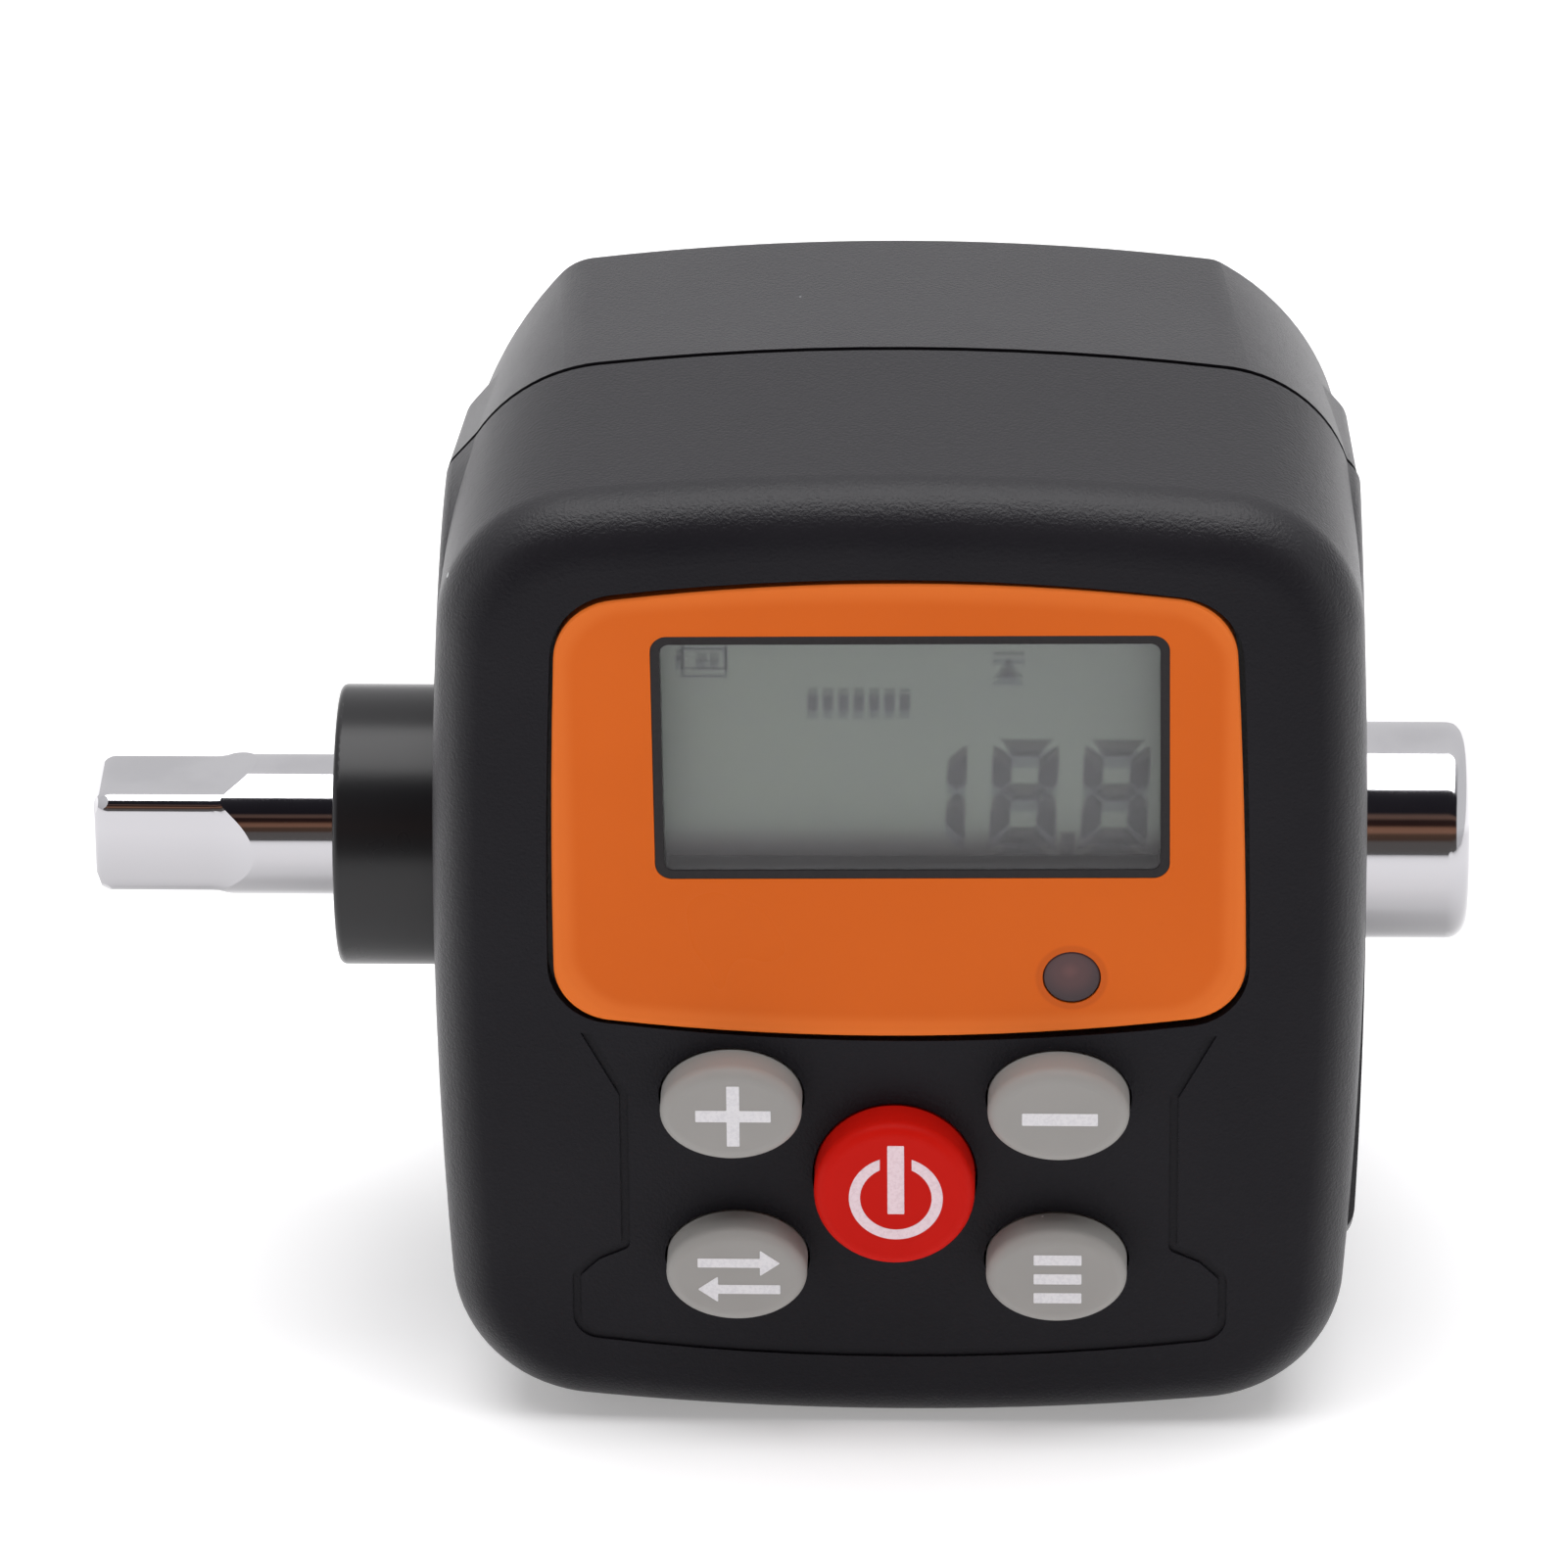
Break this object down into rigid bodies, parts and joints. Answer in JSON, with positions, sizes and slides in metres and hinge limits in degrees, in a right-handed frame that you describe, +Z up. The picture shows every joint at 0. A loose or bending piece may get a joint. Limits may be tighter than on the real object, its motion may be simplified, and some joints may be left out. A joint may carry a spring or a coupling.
{
  "type": "digital torque adapter",
  "caption": "Square-drive torque adapter: a chromed shaft with male and female square ends through a two-shell housing with a display, rubber keys and a battery door.",
  "frame": {"origin": "centre of the flat bottom, directly under the shaft's axis and in the plane where the two shells meet", "axes": "+X along the shaft towards the female end, -Y out of the display face, +Z up"},
  "size_m": [0.0795, 0.0429, 0.06],
  "materials": {
    "housing_plastic": "black ABS with a fine spark texture",
    "panel_orange": "glossy orange, printed on the back",
    "bezel_black": "black frame",
    "window_clear": "clear acrylic",
    "lcd_glass": "grey-green reflective liquid crystal cell",
    "reflector_film": "matt silver film",
    "holder_white": "white moulded frame",
    "elastomer": "pink and black elastomer connector",
    "lens_smoked": "smoked lens",
    "led_red": "diffused red LED",
    "key_grey_rubber": "grey silicone rubber",
    "key_red_rubber": "red silicone rubber",
    "spring_steel": "bare spring steel",
    "board_green": "green solder mask",
    "chip_black": "epoxy package with tinned pins",
    "buzzer_black": "black sounder case",
    "chrome": "polished chromium plate",
    "collar_black": "black anodised, fine turned finish",
    "bush_nylon": "natural nylon",
    "pin_steel": "ground steel",
    "gauge_foil": "polyimide foil gauge",
    "lead_insulation": "insulated wire",
    "ball_steel": "polished steel ball",
    "cell_jacket": "plain printed steel jacket",
    "contact_nickel": "nickel plated",
    "screw_black": "black zinc plated",
    "screw_steel": "zinc plated"
  },
  "bodies": {
    "housing": {"alarm_led": "led_red", "amplifier_chip": "chip_black", "battery_1": "cell_jacket", "battery_2": "cell_jacket", "battery_leads": "lead_insulation", "battery_plates": "contact_nickel", "battery_springs": "contact_nickel", "buzzer": "buzzer_black", "controller_chip": "chip_black", "detent_spring": "spring_steel", "display_bezel": "bezel_black", "display_window": "window_clear", "drive_shaft": "chrome", "face_panel": "panel_orange", "front_housing": "housing_plastic", "gauge_leads": "lead_insulation", "housing_screws": "screw_black", "keypad_mat": "key_grey_rubber", "lcd_cell": "lcd_glass", "lcd_holder": "holder_white", "lcd_reflector": "reflector_film", "led_lens": "lens_smoked", "locating_pin": "pin_steel", "main_pcb": "board_green", "pcb_screws": "screw_steel", "rear_housing": "housing_plastic", "retaining_ring": "spring_steel", "right_bush": "bush_nylon", "shaft_collar": "collar_black", "strain_gauges": "gauge_foil", "switch_domes": "spring_steel", "zebra_strips": "elastomer"},
    "key_plus": {"key_plus": "key_grey_rubber"},
    "key_minus": {"key_minus": "key_grey_rubber"},
    "key_unit": {"key_unit": "key_grey_rubber"},
    "key_mode": {"key_mode": "key_grey_rubber"},
    "key_power": {"key_power": "key_red_rubber"},
    "detent_ball": {"detent_ball": "ball_steel"},
    "battery_door": {"battery_door": "housing_plastic"}
  },
  "joints": [
    {"name": "key_plus_press", "type": "slide", "parent": "housing", "child": "key_plus", "axis": [0, 1, 0], "range_m": [0, 0.0008], "stiffness_N_per_m": 1200, "springref_m": -0.0002},
    {"name": "key_minus_press", "type": "slide", "parent": "housing", "child": "key_minus", "axis": [0, 1, 0], "range_m": [0, 0.0008], "stiffness_N_per_m": 1200, "springref_m": -0.0002},
    {"name": "key_unit_press", "type": "slide", "parent": "housing", "child": "key_unit", "axis": [0, 1, 0], "range_m": [0, 0.0008], "stiffness_N_per_m": 1200, "springref_m": -0.0002},
    {"name": "key_mode_press", "type": "slide", "parent": "housing", "child": "key_mode", "axis": [0, 1, 0], "range_m": [0, 0.0008], "stiffness_N_per_m": 1200, "springref_m": -0.0002},
    {"name": "key_power_press", "type": "slide", "parent": "housing", "child": "key_power", "axis": [0, 1, 0], "range_m": [0, 0.0008], "stiffness_N_per_m": 1200, "springref_m": -0.0002},
    {"name": "detent_press", "type": "slide", "parent": "housing", "child": "detent_ball", "axis": [0, -1, 0], "range_m": [0, 0.00045], "stiffness_N_per_m": 3000, "springref_m": -0.0003, "deforming": ["detent_spring"]},
    {"name": "battery_door_hinge", "type": "hinge", "parent": "housing", "child": "battery_door", "pos_m": [0, 0.0206, 0.0051], "axis": [-1, 0, 0], "range_deg": [0, 80]}
  ]
}
